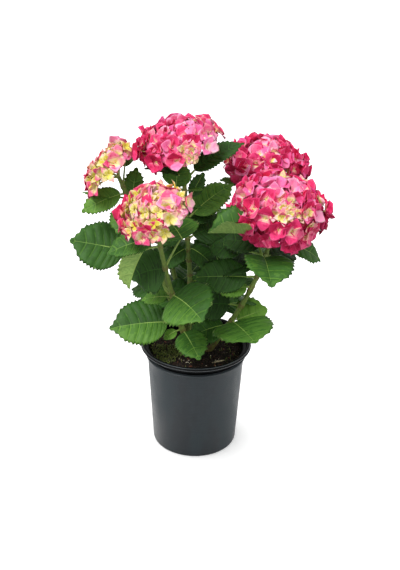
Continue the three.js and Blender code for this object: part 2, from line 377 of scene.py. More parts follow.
def tube(path, radii, sides, shape=None):
    """A closed tube along a path. shape(ring, turn) adds to its radius."""
    path = np.asarray(path, float)
    along = unit(np.gradient(path, axis=0))
    across = unit(np.cross(along[0], (0.3, 1.0, 0.2)))
    turns = np.arange(sides) * 2 * math.pi / sides
    points = []
    for ring, (centre, forward, radius) in enumerate(zip(path, along, radii)):
        across = unit(across - forward * np.dot(across, forward))
        beside = np.cross(forward, across)
        reach = radius + (shape(ring, turns) if shape else 0)
        points.append(centre + np.outer(np.cos(turns) * reach, across)
                      + np.outer(np.sin(turns) * reach, beside))
    points.append([path[0], path[-1]])
    return np.concatenate(points), closed_faces(len(path), sides)


def curve(start, pull, end, steps):
    """Points of a quadratic curve."""
    at = np.linspace(0, 1, steps + 1)[:, None]
    start, pull, end = (np.asarray(p, float) for p in (start, pull, end))
    return (1 - at) ** 2 * start + 2 * at * (1 - at) * pull + at ** 2 * end


@functools.lru_cache(maxsize=None)
def blade_grid(rows, columns):
    """A closed thin blade: an upper and a lower grid that share their margin and two ends.

    Gives the upper and lower point numbers, the faces, and each face's side, row and column.
    """
    upper = np.zeros((rows + 1, columns + 1), int)
    upper[rows] = 1
    upper[1:rows] = 2 + np.arange((rows - 1) * (columns + 1)).reshape(rows - 1, -1)
    lower = upper.copy()
    inner = (rows - 1) * (columns - 1)
    lower[1:rows, 1:columns] = upper.max() + 1 + np.arange(inner).reshape(rows - 1, -1)
    faces, where = [], []
    for row in range(rows):
        for column in range(columns):
            for side, grid in enumerate((upper, lower)):
                corners = [grid[row, column], grid[row, column + 1],
                           grid[row + 1, column + 1], grid[row + 1, column]]
                corners = list(dict.fromkeys(int(c) for c in corners))
                if len(corners) > 2:
                    faces.append(tuple(corners if side == 0 else corners[::-1]))
                    where.append((side, row, column))
    return upper, lower, faces, np.array(where)


def blade_points(upper, lower, middle, normals, half_thickness):
    """The points of a closed blade, from its middle surface."""
    points = np.zeros((lower.max() + 1, 3))
    rise = normals * half_thickness[..., None]
    points[lower] = middle - rise
    points[upper] = middle + rise
    for rim in (0, -1):
        points[upper[rim]] = middle[rim]
        points[upper[:, rim]] = middle[:, rim]
    return points


def surface_normals(middle):
    """Unit normals of a grid of points."""
    along, across = np.gradient(middle, axis=(0, 1))
    return unit(np.cross(across, along))


def aim(heading, climb):
    """The direction at a heading and a climb, both in degrees."""
    turn, lift = math.radians(heading), math.radians(climb)
    return np.array([math.cos(lift) * math.cos(turn), math.cos(lift) * math.sin(turn),
                     math.sin(lift)])


def spread_ways(number, first=0.0):
    """Directions spread evenly over a sphere, the first one at a turn about Z in radians."""
    level = 1 - 2 * (np.arange(number) + 0.5) / number
    turn = GOLDEN_ANGLE * np.arange(number) + first
    out = np.sqrt(1 - level ** 2)
    return np.stack([out * np.cos(turn), out * np.sin(turn), level], -1)


def egg(at, base_share, tip_share):
    """Half the width of a leaf or sepal along its length, as a share of its widest."""
    widest = base_share / (base_share + tip_share)
    return (at / widest) ** base_share * ((1 - at) / (1 - widest)) ** tip_share


# ---------------------------------------------------------------- pot and soil

def rounded(profile, steps=5):
    """A (radius, height, rounding) profile in metres with its corners turned into arcs."""
    points = []
    corners = [np.array(corner[:2]) for corner in profile]
    for index, (corner, (_, _, rounding)) in enumerate(zip(corners, profile)):
        if rounding == 0:
            points.append(corner)
            continue
        before = unit(corners[index - 1] - corner) * rounding
        after = unit(corners[index + 1] - corner) * rounding
        for at in np.linspace(0, 1, steps + 1):
            points.append(corner + before * (1 - at) ** 2 + after * at ** 2)
    return points


def lathe(profile, segments):
    """A turned shell whose profile of radii and heights begins and ends on the axis."""
    turns = np.arange(segments) * 2 * math.pi / segments
    rings = [np.stack([r * np.cos(turns), r * np.sin(turns), np.full(segments, z)], -1)
             for r, z in profile[1:-1]]
    ends = [[0, 0, profile[0][1]], [0, 0, profile[-1][1]]]
    return np.concatenate(rings + [ends]), closed_faces(len(rings), segments)


class HYDRANGEA_OT_pot(bpy.types.Operator):
    """Turns the nursery pot: rolled rim, stacking ledge, tapering wall and foot"""
    bl_idname = "hydrangea.pot"
    bl_label = "Pot"

    def execute(self, context):
        s = context.scene.hydrangea_pot
        rings = rounded(self.profile(s))
        points, faces = lathe(rings, s.segments)
        # The plastic is dusty up to the ledge. Above it the plastic is darker, a painted shade in the
        # groove under the lip, on the lip and on the inner wall; under and over the lip and on the
        # ledge's corner it is lighter, a painted highlight.
        corners = ((s.rim_radius - 0.4 * MM, s.height - s.lip),
                   (s.rim_radius - 1.5 * MM, s.height),
                   (s.ledge_radius, s.ledge_height))
        # Rings near these corners take the lighter edge plastic: a painted highlight.
        highlit = np.array([any(math.dist(ring, corner) < 1.1 * MM for corner in corners)
                         for ring in rings])
        shade_from = next(i for i, ring in enumerate(rings) if ring[1] > s.ledge_height - 0.3 * MM)
        # The first ring is a point, so each band of faces starts one ring after its own number.
        band = np.arange(len(faces)) // s.segments
        wall, rim, edge = range(3)
        skin = Skin()
        skin.add(points, faces, np.where(highlit[band], edge, np.where(band + 1 >= shade_from, rim, wall)))
        # The second material is a painted shade, the third a painted highlight.
        materials = [self.plastic(s),
                     plain("rim_painted_shade", s.rim, 0.35, Specular_IOR_Level=0.1),
                     plain("highlit_edge", s.edge, 0.3, Specular_IOR_Level=0.5)]
        skin.piece("pot_shell", materials, ["pot"])
        return {"FINISHED"}

    def profile(self, s):
        """Half of the pot's section, from the middle of its underside round to its inner floor.

        Gives each corner's radius, height and rounding. The table holds the radius and height
        that a corner is measured from and, in millimetres, how far it lies beyond them and its
        rounding.
        """
        under = s.height - s.lip
        waist = s.ledge_radius - s.groove
        corners = [
            (0, 0, 0, 1.2, 0),
            (s.foot_radius, 0, -9, 1.2, 0.8),
            (s.foot_radius, 0, -7, 0, 0.8),
            (s.foot_radius, 0, 0, 0, 2.5),
            (s.ledge_radius, s.ledge_height, -2.8, -2.8, 0.8),
            (s.ledge_radius, s.ledge_height, 0, -1.8, 0.6),
            (s.ledge_radius, s.ledge_height, 0, 0, 0.8),
            (waist, s.ledge_height, 0, 0.6, 0.6),
            (waist, under, 1.2, -3, 1.5),
            (s.throat_radius, under, 0, 0, 1.0),
            (s.rim_radius, under, -0.4, 0, 1.0),
            (s.rim_radius, under, 0, 1.7, 0.6),
            (s.rim_radius, under, -1.1, 2.3, 0.4),
            (s.rim_radius, s.height, -0.9, -1.2, 0.6),
            (s.rim_radius, s.height, -1.5, 0, 0.6),
            (s.rim_radius, s.height, -2.8, -0.9, 0.6),
            (s.throat_radius, s.height, 1.6, -1.1, 0.6),
            (s.throat_radius, s.height, 0.4, -0.2, 0.8),
            (s.throat_radius - s.wall, under - s.wall, 0, 0, 1.2),
            (s.ledge_radius - 2.6 * s.wall, s.ledge_height, 0, -3, 1.0),
            (s.foot_radius - s.wall, s.floor, 0, 0, 1.5),
            (0, s.floor, 0, 0, 0),
        ]
        return [(radius + out * MM, height + up * MM, rounding * MM)
                for radius, height, out, up, rounding in corners]

    def plastic(self, s):
        """Charcoal plastic with dusty blotches and level scratches."""
        g = Finish("pot_plastic", Specular_IOR_Level=0.29, Specular_Tint=s.sheen,
                   Coat_Roughness=0.3)
        blotches = g.noise(26.0, 4.0, squeeze=(1.0, 1.0, 0.35))
        scratches = g.noise(70.0, 5.0, 0.7, squeeze=(1.0, 1.0, 9.0))
        grain = g.noise(2600.0, 2.0)
        dust = g.ramp(blotches * 0.75 + scratches * 0.25, (0.42, 0.0), (0.6, 1.0))
        return g.feed(
            Base_Color=g.blend(dust * 0.9, s.plastic, s.scuff),
            Roughness=0.33 + dust * 0.2 + grain * 0.06,
            Coat_Weight=0.12 - dust * 0.1,
            Normal=g.bump(grain * 0.5 + scratches * 0.5, 0.00018),
        )


def soil_lift(x, y):
    """Relief of the soil at a point, from -1 to 1."""
    point = Vector((x, y, 0.0))
    return (0.6 * noise.noise(point * 95) + 0.3 * noise.noise(point * 230 + Vector((3, 1, 2)))
            + 0.25 * noise.noise(point * 520))


class HYDRANGEA_OT_soil(bpy.types.Operator):
    """Lays the potting mix: its lumpy bed, crumbs, bark chips, perlite, moss and a twig"""
    bl_idname = "hydrangea.soil"
    bl_label = "Soil"

    def execute(self, context):
        s = context.scene.hydrangea_soil
        low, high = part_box("soil")
        self.radius = high.x
        self.crown = high.z
        self.edge = high.z - 3 * MM
        self.relief = s.relief
        self.bed(s, low.z)
        rng = np.random.default_rng(11)
        self.litter(s, rng)
        self.moss(s, rng)
        self.twig(s)
        return {"FINISHED"}

    def height(self, x, y):
        """Height of the soil's surface at a point: flat in the middle, falling to its edge."""
        out = min(math.hypot(x, y) / self.radius, 1.0)
        level = self.crown + (self.edge - self.crown) * max(0.0, out * 2 - 1)
        return level + self.relief * soil_lift(x, y) * (1 - 0.6 * out ** 6)

    def bed(self, s, foot):
        """The whole plug of soil: its tapering side, and its top in rings."""
        rings, segments = 44, 150
        profile = [(0, foot), (self.radius - 12 * MM, foot), (self.radius - 10.5 * MM, foot + 1 * MM),
                   (self.radius, self.edge - 3 * MM)]
        profile += [(self.radius * (1 - ring / rings), self.edge) for ring in range(rings)]
        points, faces = lathe(profile + [(0, self.crown)], segments)
        for point in points[:-2]:
            if point[2] > self.edge - 1 * MM:
                point[2] = self.height(*point[:2])
        skin = Skin()
        skin.add(points, faces, 0)
        skin.piece("soil_bed", [self.mix(s)], ["soil"])

    def mix(self, s):
        """Peat with patches of humus and flakes of bark."""
        g = Finish("potting_mix", Specular_IOR_Level=0.25)
        coarse = g.noise(240.0, 5.0, 0.65)
        fine = g.noise(900.0)
        earth = g.blend(g.ramp(coarse, (0.45, 0.0), (0.68, 1.0)), s.peat, s.humus)
        return g.feed(
            Base_Color=g.blend(g.ramp(fine, (0.63, 0.0), (0.7, 0.7)), earth, s.bark),
            Roughness=0.98 - coarse * 0.25,
            Normal=g.bump(coarse * 0.6 + fine * 0.4, 0.0022),
        )

    def spot(self, rng, reach, heading=0.0, spread=math.pi):
        """A random place on the soil, at an angle of up to spread from a heading."""
        turn = rng.uniform(-spread, spread) + heading
        out = reach * math.sqrt(rng.uniform(0.02, 1))
        x, y = out * math.cos(turn), out * math.sin(turn)
        return np.array([x, y, self.height(x, y)])

    def litter(self, s, rng):
        """Loose bits. Of each kind: its number, sizes in millimetres, shape, tints and roughness."""
        inside = self.radius - 4 * MM
        kinds = [
            ("crumbs", s.crumbs, (1.6, 3.4), (1, 0.8, 0.7), [s.peat, s.humus, s.peat], 0.95),
            ("chips", s.chips, (2.8, 6.4), (1, 0.45, 0.22), [s.bark, s.humus, s.bark], 0.8),
            ("grains", s.grains, (1.0, 2.5), (1, 0.8, 0.7), [s.perlite], 0.9),
        ]
        for name, number, (small, large), shape, tints, roughness in kinds:
            skin = Skin()
            for _ in range(number):
                scale = rng.uniform(small, large) * MM / 2
                points, faces = lump(int(rng.integers(LUMP_KINDS)))
                turned = turn_about(rng) @ np.diag(shape)
                points = points @ turned.T * scale + self.spot(rng, inside) + [0, 0, scale * 0.3]
                skin.add(points, faces, int(rng.integers(len(tints))))
            skin.piece(f"soil_{name}", shades(f"soil_{name}", tints, len(tints), roughness))

    def moss(self, s, rng):
        """Blades of moss: most in a patch towards the front and left, the rest all over."""
        skin = Skin()
        front_left, patch, strays = math.radians(-158), 0.52, 0.2
        for _ in range(s.moss_blades):
            spread = math.pi if rng.uniform() < strays else patch
            foot = self.spot(rng, self.radius - 5 * MM, front_left, spread)
            length = rng.uniform(3.5, 8.5) * MM
            lean = math.degrees(rng.uniform(0.2, 1.35))
            way = aim(rng.uniform(0, 360), 90 - lean)
            tip = foot + way * length
            tip[:2] *= min(1.0, (self.radius - 1.5 * MM) / max(np.hypot(*tip[:2]), 1e-6))
            pull = foot + way * length * 0.5 + [0, 0, length * 0.25]
            radii = np.array([0.5, 0.42, 0.3, 0.08]) * MM
            skin.add(*tube(curve(foot, pull, tip, 3), radii, 4), int(rng.integers(3)))
        skin.piece("soil_moss", shades("moss", [s.moss, s.moss, s.moss_tip], 3, 0.8))

    def twig(self, s):
        """A short dry twig near the front of the pot."""
        start, end = np.array([24, -41, 0]) * MM, np.array([42, -33, 0]) * MM
        path = curve(start, (start + end) / 2 + [0, 0, 1 * MM], end, 6)
        path[:, 2] += self.edge + 2.6 * MM
        skin = Skin()
        skin.add(*tube(path, np.array([0.8, 1.4, 1.2, 1.35, 1.2, 1.25, 0.7]) * MM, 7), 0)
        skin.piece("soil_twig", [plain("dry_twig", s.twig, 0.85)])


LUMP_KINDS = 6
LUMP_POINTS = 16


@functools.lru_cache(maxsize=None)
def lump(kind):
    """A small uneven lump: points about 1 from the middle, and faces."""
    rng = np.random.default_rng(100 + kind)
    mesh = bmesh.new()
    for point in spread_ways(LUMP_POINTS) * rng.uniform(0.65, 1.25, (LUMP_POINTS, 1)):
        mesh.verts.new(point)
    bmesh.ops.convex_hull(mesh, input=mesh.verts)
    mesh.verts.ensure_lookup_table()
    mesh.verts.index_update()
    kept = np.array([vert.co[:] for vert in mesh.verts])
    faces = tuple(tuple(vert.index for vert in face.verts) for face in mesh.faces)
    mesh.free()
    return kept, faces


def turn_about(rng):
    """A random turn, as a 3 by 3 matrix."""
    spin = Matrix.Rotation(rng.uniform(0, 2 * math.pi), 3, "Z")
    tip = Matrix.Rotation(rng.uniform(-0.6, 0.6), 3, "X")
    return np.array(spin @ tip)


# ---------------------------------------------------------------- canes

class Axis:
    """The centre line of a cane, found by cutting its CAD node at many heights."""

    def __init__(self, node):
        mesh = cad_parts[node].data
        verts = np.array([v.co[:] for v in mesh.vertices])
        edges = np.array([e.vertices[:] for e in mesh.edges])
        self.low, self.high = verts[:, 2].min(), verts[:, 2].max()
        heights = np.linspace(self.low, self.high, 62)[1:-1]
        first, second = verts[edges[:, 0]], verts[edges[:, 1]]
        centres, radii = [], []
        for height in heights:
            cut = (first[:, 2] - height) * (second[:, 2] - height) < 0
            part = ((height - first[cut, 2]) / (second[cut, 2] - first[cut, 2]))[:, None]
            ring = first[cut] + (second[cut] - first[cut]) * part
            centres.append(ring.mean(0))
            radii.append(np.linalg.norm(ring - ring.mean(0), axis=1).mean())
        centres = np.array(centres)
        self.fits = [np.polyfit(heights, centres[:, axis], 4) for axis in (0, 1)]
        self.radius_fit = np.polyfit(heights, radii, 1)

    def point(self, height):
        height = np.clip(height, self.low - 6 * MM, self.high)
        x, y = (np.polyval(fit, height) for fit in self.fits)
        return np.stack(np.broadcast_arrays(x, y, height), -1)

    def radius(self, height):
        return np.polyval(self.radius_fit, height)

    def direction(self, height):
        return unit(self.point(height + 1 * MM) - self.point(height - 1 * MM))


class Leaf(NamedTuple):
    """A leaf, its stalk and its blade, in millimetres and degrees."""
    mass: str               # the foliage mass it belongs to
    height: float           # where its stalk leaves the cane
    heading: float          # 0 is +X and -90 the front
    reach: float            # the stalk's length and climb
    climb: float
    length: float           # the blade's length and width
    width: float
    rise: float             # the blade's climb at its base and at its tip
    droop: float
    roll: float = 0         # about its own length
    fold: float = 8         # how far both halves fold up
    # tone is partly the leaf's own green and partly painted shade: leaves deep in the crown get the
    # darkest tones.
    tone: float = 0.45      # from 0, the darkest, to 1
    turn: float = 0         # of the blade away from its stalk
    # left is painted light and shade: one half of the blade is set lighter or darker than the other,
    # as light falls on it.
    left: float = 0         # how much lighter the left half is
    left_fold: float = 0    # how much further each half folds up
    right_fold: float = 0
    pucker: float = 1       # how puckered the blade is
    rib: float = 1          # how stout its midrib is


# Leaves, by the cane that carries them.
LEAVES = {
    "front_left": [
        Leaf("low_left", 212, 187, 19, 5, 84, 68, 2, -12, -38, 10, 0.34, left=0.3, pucker=1.15),
        Leaf("low_front", 196, -66, 6, 0, 58, 44, -6, -26, 15, 10, 0.5),
        Leaf("low_front", 198, 205, 10, 0, 22, 18, -15, -40, -20, 10, 0.8),
        Leaf("centre_front", 266, -56, 6, 0, 74, 80, 8, -20, 32, 8, 0.6, left=-0.2),
        Leaf("low_left", 260, 168, 8, 0, 40, 28, -5, -25, -20, 8, 0.7),
        Leaf("low_left", 268, 180, 26, 45, 6, 4, 50, 40, 0, 8, 0.8),
        Leaf("hanging_left", 312, 174, 0, 0, 53, 62, -4, -40, -62, 6, 0.2),
        Leaf("hanging_left", 350, 204, 22, 0, 60, 48, -55, -82, 92, 4, 0.6, right_fold=120, rib=2.2),
        Leaf("under_left_head", 362, 183, 8, 0, 66, 44, -6, -34, -25, 14, 0.5),
        Leaf("under_front_head", 314, 20, 46, 58, 44, 62, 30, 0, -12, 8, 0.5, turn=100),
    ],
    "left": [
        Leaf("far_left", 300, 180, 40, 6, 80, 72, 12, 8, -45, 8, 0.4),
        Leaf("upper_left", 390, 184, 8, -8, 62, 34, -16, -36, -46, 12, 0.72),
        Leaf("behind_left_head", 382, 165, 16, 0, 54, 27, 4, 0, 0, 10, 0.6),
        Leaf("upright_left", 374, 75, 4, 45, 50, 28, 68, 55, 20, 16, 0.62),
        Leaf("upright_left", 400, 80, 28, 70, 34, 20, 40, 5, 0, 10, 0.6),
        Leaf("front_of_left", 372, -110, 6, 0, 50, 40, -10, -50, 0, 10, 0.6),
        Leaf("back_left_side", 330, 105, 14, 10, 70, 56, 10, -34, -10),
        Leaf("back_left_side", 284, 62, 12, 8, 66, 52, 8, -30, 10, 8, 0.4),
        Leaf("back_left_side", 236, 150, 10, 5, 58, 46, 5, -26, -20, 8, 0.4),
    ],
    "middle": [
        Leaf("inner_middle", 308, 200, 6, 30, 44, 38, -20, -60, -20, 8, 0.25),
        Leaf("inner_middle", 308, -15, 6, 40, 48, 42, -20, -60, 20, 8, 0.25),
        Leaf("inner_middle", 240, 150, 10, 20, 44, 40, 0, -20, -20, 8, 0.2),
        Leaf("inner_middle", 336, 192, 6, 20, 52, 50, 0, -12, -34, 8, 0.14),
        Leaf("inner_middle", 325, 35, 10, 20, 74, 56, 14, -10, 30, 8, 0.14),
        Leaf("inner_middle", 345, 60, 8, 30, 60, 50, 30, 5, 20, 8, 0.12),
        Leaf("upper_middle", 353, 25, 14, 40, 72, 48, 42, 18, 22, 10, 0.58),
        Leaf("top_right", 394, -168, 15, 35, 40, 42, 70, 98, 0, 14, 0.66, turn=-120),
        Leaf("top_right", 412, 195, 12, 45, 50, 36, 26, 0, 0, 10, 0.12),
        Leaf("top_right", 396, -20, 6, 10, 22, 15, 20, 0, 0, 14, 0.6),
        Leaf("top_right", 406, 15, 24, 52, 80, 38, 38, 14, 22, 12, 0.16),
        Leaf("top_right", 380, 30, 12, 35, 38, 20, 66, 50, 60, 14, 0.3),
        Leaf("back_low", 200, 90, 6, 0, 84, 62, 2, -22),
        Leaf("back_middle", 270, 70, 10, 5, 80, 62, 5, -30),
        Leaf("back_high", 350, 110, 12, 15, 74, 56, 10, -35, 0, 8, 0.5),
        Leaf("back_low", 226, 40, 10, 8, 66, 52, 8, -26, 10),
        Leaf("back_low", 222, 150, 10, 8, 62, 50, 8, -26, -10, 8, 0.4),
        Leaf("back_middle", 292, 130, 12, 10, 70, 54, 10, -30, -10),
        Leaf("back_middle", 258, 25, 12, 10, 64, 50, 10, -26, 10, 8, 0.4),
        Leaf("back_high", 366, 50, 12, 20, 56, 42, 15, -28, 10, 8, 0.5),
    ],
    "front_right": [
        Leaf("low_right", 208, -64, 6, 0, 68, 92, 8, -8, 4, 10, 0.6),
        Leaf("low_right_side", 208, 12, 8, 5, 48, 54, 20, 14, 40, 8, 0.95),
        Leaf("low_inner", 200, 190, 8, 0, 56, 44, -8, -32, -30, 8, 0.35),
        Leaf("inner_right", 234, 165, 17, 0, 54, 50, 0, -24, -50, 8, 0.12),
        Leaf("centre_right", 284, 176, 14, 0, 78, 50, 0, -8, -52, 12, 0.3),
        Leaf("centre_right", 268, 194, 8, 0, 46, 30, 6, -12, -40, 10, 0.82),
        Leaf("right_front", 322, -105, 12, 0, 64, 72, 0, -30, -8, 28, 0.44, turn=22),
        Leaf("inner_right_high", 296, 140, 10, 10, 74, 62, 0, -20, -20, 8, 0.06),
        Leaf("far_right", 338, 0, 31, 0, 50, 46, -8, -50, 15, 8, 0.42),
        Leaf("upper_right", 310, -112, 76, 52, 62, 74, 2, -4, -58, 10, turn=-70, left_fold=100),
        Leaf("inner_right_high", 318, 160, 34, 5, 50, 45, 5, -10, -20, 8, 0.2),
        Leaf("right_side_low", 236, 84, 8, 0, 46, 44, -5, -30, 20),
        Leaf("right_side", 300, 65, 10, 0, 64, 54, 5, -30, 20, 8, 0.5),
        Leaf("right_side_low", 262, 112, 12, 6, 62, 50, 6, -26, 10, 8, 0.4),
        Leaf("inner_right_high", 304, 100, 4, 0, 50, 46, 0, -20, 0, 8, 0.06),
        Leaf("inner_right_high", 340, 168, 10, 8, 60, 48, 6, -10, -20, 8, 0.1),
        Leaf("right_side", 317, 32, 8, 4, 46, 48, 4, -20, 12, 8, 0.1),
    ],
    "back_right": [
        Leaf("back_right_low", 205, 30, 6, 0, 76, 60, 0, -22, 15),
        Leaf("back_right", 225, 125, 8, 0, 88, 68, 4, -30),
        Leaf("back_right_inner", 292, 190, 8, 5, 66, 54, 0, -20, -30, 8, 0.3),
        Leaf("back_right_side", 280, 20, 8, 5, 66, 56, 4, -34, 10),
        Leaf("back_right_high", 325, 105, 10, 5, 84, 66, 8, -36, 0, 8, 0.5),
        Leaf("back_right_far", 345, 0, 10, 10, 66, 54, 5, -38, 10, 8, 0.5),
        Leaf("back_right_top", 362, 95, 10, 20, 60, 48, 15, -30, 0, 8, 0.5),
        Leaf("under_back_head", 370, 195, 8, 10, 58, 40, 25, 10, 0, 10),
        Leaf("back_right_inner", 244, 205, 10, 8, 66, 52, 4, -28, -10, 8, 0.35),
        Leaf("back_right", 268, 70, 10, 6, 78, 60, 6, -30, 10),
        Leaf("back_right_high", 312, 165, 12, 8, 66, 52, 6, -30, -10, 8, 0.42),
    ],
    "back_left": [
        Leaf("back_left_low", 205, 150, 6, 0, 84, 64, 0, -28, -15),
        Leaf("back_left", 235, 60, 8, 0, 84, 66, 4, -32, 10),
        Leaf("back_left_inner", 258, 170, 8, 5, 66, 58, 5, -35, -25, 8, 0.35),
        Leaf("back_left_high", 300, 105, 8, 5, 84, 66, 8, -36, 0, 8, 0.5),
        Leaf("back_left_top", 328, 20, 8, 20, 66, 52, 15, -25, 5, 8, 0.5),
        Leaf("back_left_top", 328, 190, 8, 20, 60, 48, 15, -25, -20, 8, 0.5),
        Leaf("back_left", 228, 100, 10, 5, 76, 60, 4, -30, 0, 8, 0.42),
        Leaf("back_left_high", 276, 60, 10, 8, 70, 54, 8, -30, 10),
    ],
}
CANES = {name: Axis(f"cane_{name}") for name in LEAVES}
HEADED = [name for name in CANES if f"head_{name}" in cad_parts]


class HYDRANGEA_OT_canes(bpy.types.Operator):
    """Grows the canes: tapering green bark with swollen, browner nodes and a woody foot"""
    bl_idname = "hydrangea.canes"
    bl_label = "Canes"

    def execute(self, context):
        s = context.scene.hydrangea_canes
        skin = Skin()
        for index, (name, axis) in enumerate(CANES.items()):
            nodes = {leaf.height * MM for leaf in LEAVES[name]}
            self.grow(skin, s, axis, nodes, np.random.default_rng(300 + index))
        kinds = {"green": s.green, "node": s.node, "wood": s.wood}
        barks = [self.bark(f"bark_{kind}", tint, s) for kind, tint in kinds.items()]
        skin.piece("canes", barks, [f"cane_{name}" for name in CANES])
        return {"FINISHED"}

    def grow(self, skin, s, axis, nodes, rng):
        """Adds a cane: swollen where leaves leave it, flared and woody where it leaves the soil."""
        heights = np.arange(axis.low - 4 * MM, axis.high, s.ring_spacing)
        away = np.min([np.abs(heights - node) for node in nodes], axis=0)
        above = np.maximum(heights - axis.low, 0)
        radii = (axis.radius(heights) * 1.02
                 + s.node_swelling * np.exp(-(away / (3.2 * MM)) ** 2)
                 + s.flare * np.exp(-above / (7 * MM)))
        tone = np.clip(rng.normal(0, 1, (len(heights), s.sides)), -2, 2)
        phase = rng.uniform(0, 6)

        def ridges(ring, turns):
            return s.ridge * (np.sin(5 * turns + phase) + 0.5 * tone[ring])

        points, faces = tube(axis.point(heights), radii, s.sides, ridges)
        green, node, wood = range(3)
        tones = np.full((len(heights) - 1, s.sides), green)
        near = np.exp(-(away[:-1, None] / (3.6 * MM)) ** 2) + 0.16 * tone[:-1]
        tones[near > 0.72] = node
        tones[np.exp(-above[:-1, None] / (26 * MM)) + 0.12 * tone[:-1] > 0.5] = wood
        skin.add(points, faces, np.append(tones, [wood] * (2 * s.sides)))

    def bark(self, name, tint, s):
        """Bark of one colour, with shaded streaks along the cane and corky flecks."""
        g = Finish(name, Specular_IOR_Level=0.35)
        streaks = g.noise(900.0, squeeze=(1.0, 1.0, 0.12))
        mottle = g.noise(150.0)
        flecks = g.ramp(g.noise(1300.0, 1.0, squeeze=(1.0, 1.0, 0.4)), (0.68, 0.0), (0.74, 0.6))
        mask = g.ramp(streaks * 0.6 + mottle * 0.4, (0.4, 0.0), (0.64, 0.8))
        return g.feed(
            Base_Color=g.blend(flecks, g.blend(mask, tint, s.shade), s.fleck),
            Roughness=0.5 + mottle * 0.2,
            Normal=g.bump(streaks * 0.7 + flecks * 0.3, 0.0004),
        )


# ---------------------------------------------------------------- leaves

BLADE_TONES = 9        # greens of the upper side, which two midrib greens follow
UNDER_TONES = 4        # greens of the underside
MARGIN = 10            # columns of a half blade
ROWS_PER_TOOTH = 4
ROWS_PER_VEIN = 8


def outline(at):
    """Half the width of a blade along its length: a broad egg shape that narrows to a point."""
    return egg(at, 0.5, 0.75) * (1 - 0.62 * smooth(at, 0.74, 0.99))


def spine(along, length, start, end, heading):
    """The midrib of a blade that bends evenly from one climb to another.

    Gives its points from the blade's base and its forward directions.
    """
    bend = end - start
    if abs(bend) < 1e-3:
        bend = 1e-3
    climb = start + bend * along
    out = length * (np.sin(climb) - math.sin(start)) / bend
    up = length * (math.cos(start) - np.cos(climb)) / bend
    level = np.array([math.cos(heading), math.sin(heading), 0.0])
    upright = np.array([0, 0, 1.0])
    points = out[..., None] * level + up[..., None] * upright
    forward = np.cos(climb)[..., None] * level + np.sin(climb)[..., None] * upright
    return points, forward


def straight(length, heading, climb):
    """Where a straight stalk ends, from its start. Its heading and climb are in degrees."""
    heading, climb = math.radians(heading), math.radians(climb)
    return spine(np.ones(1), length, climb, climb, heading)[0][0]


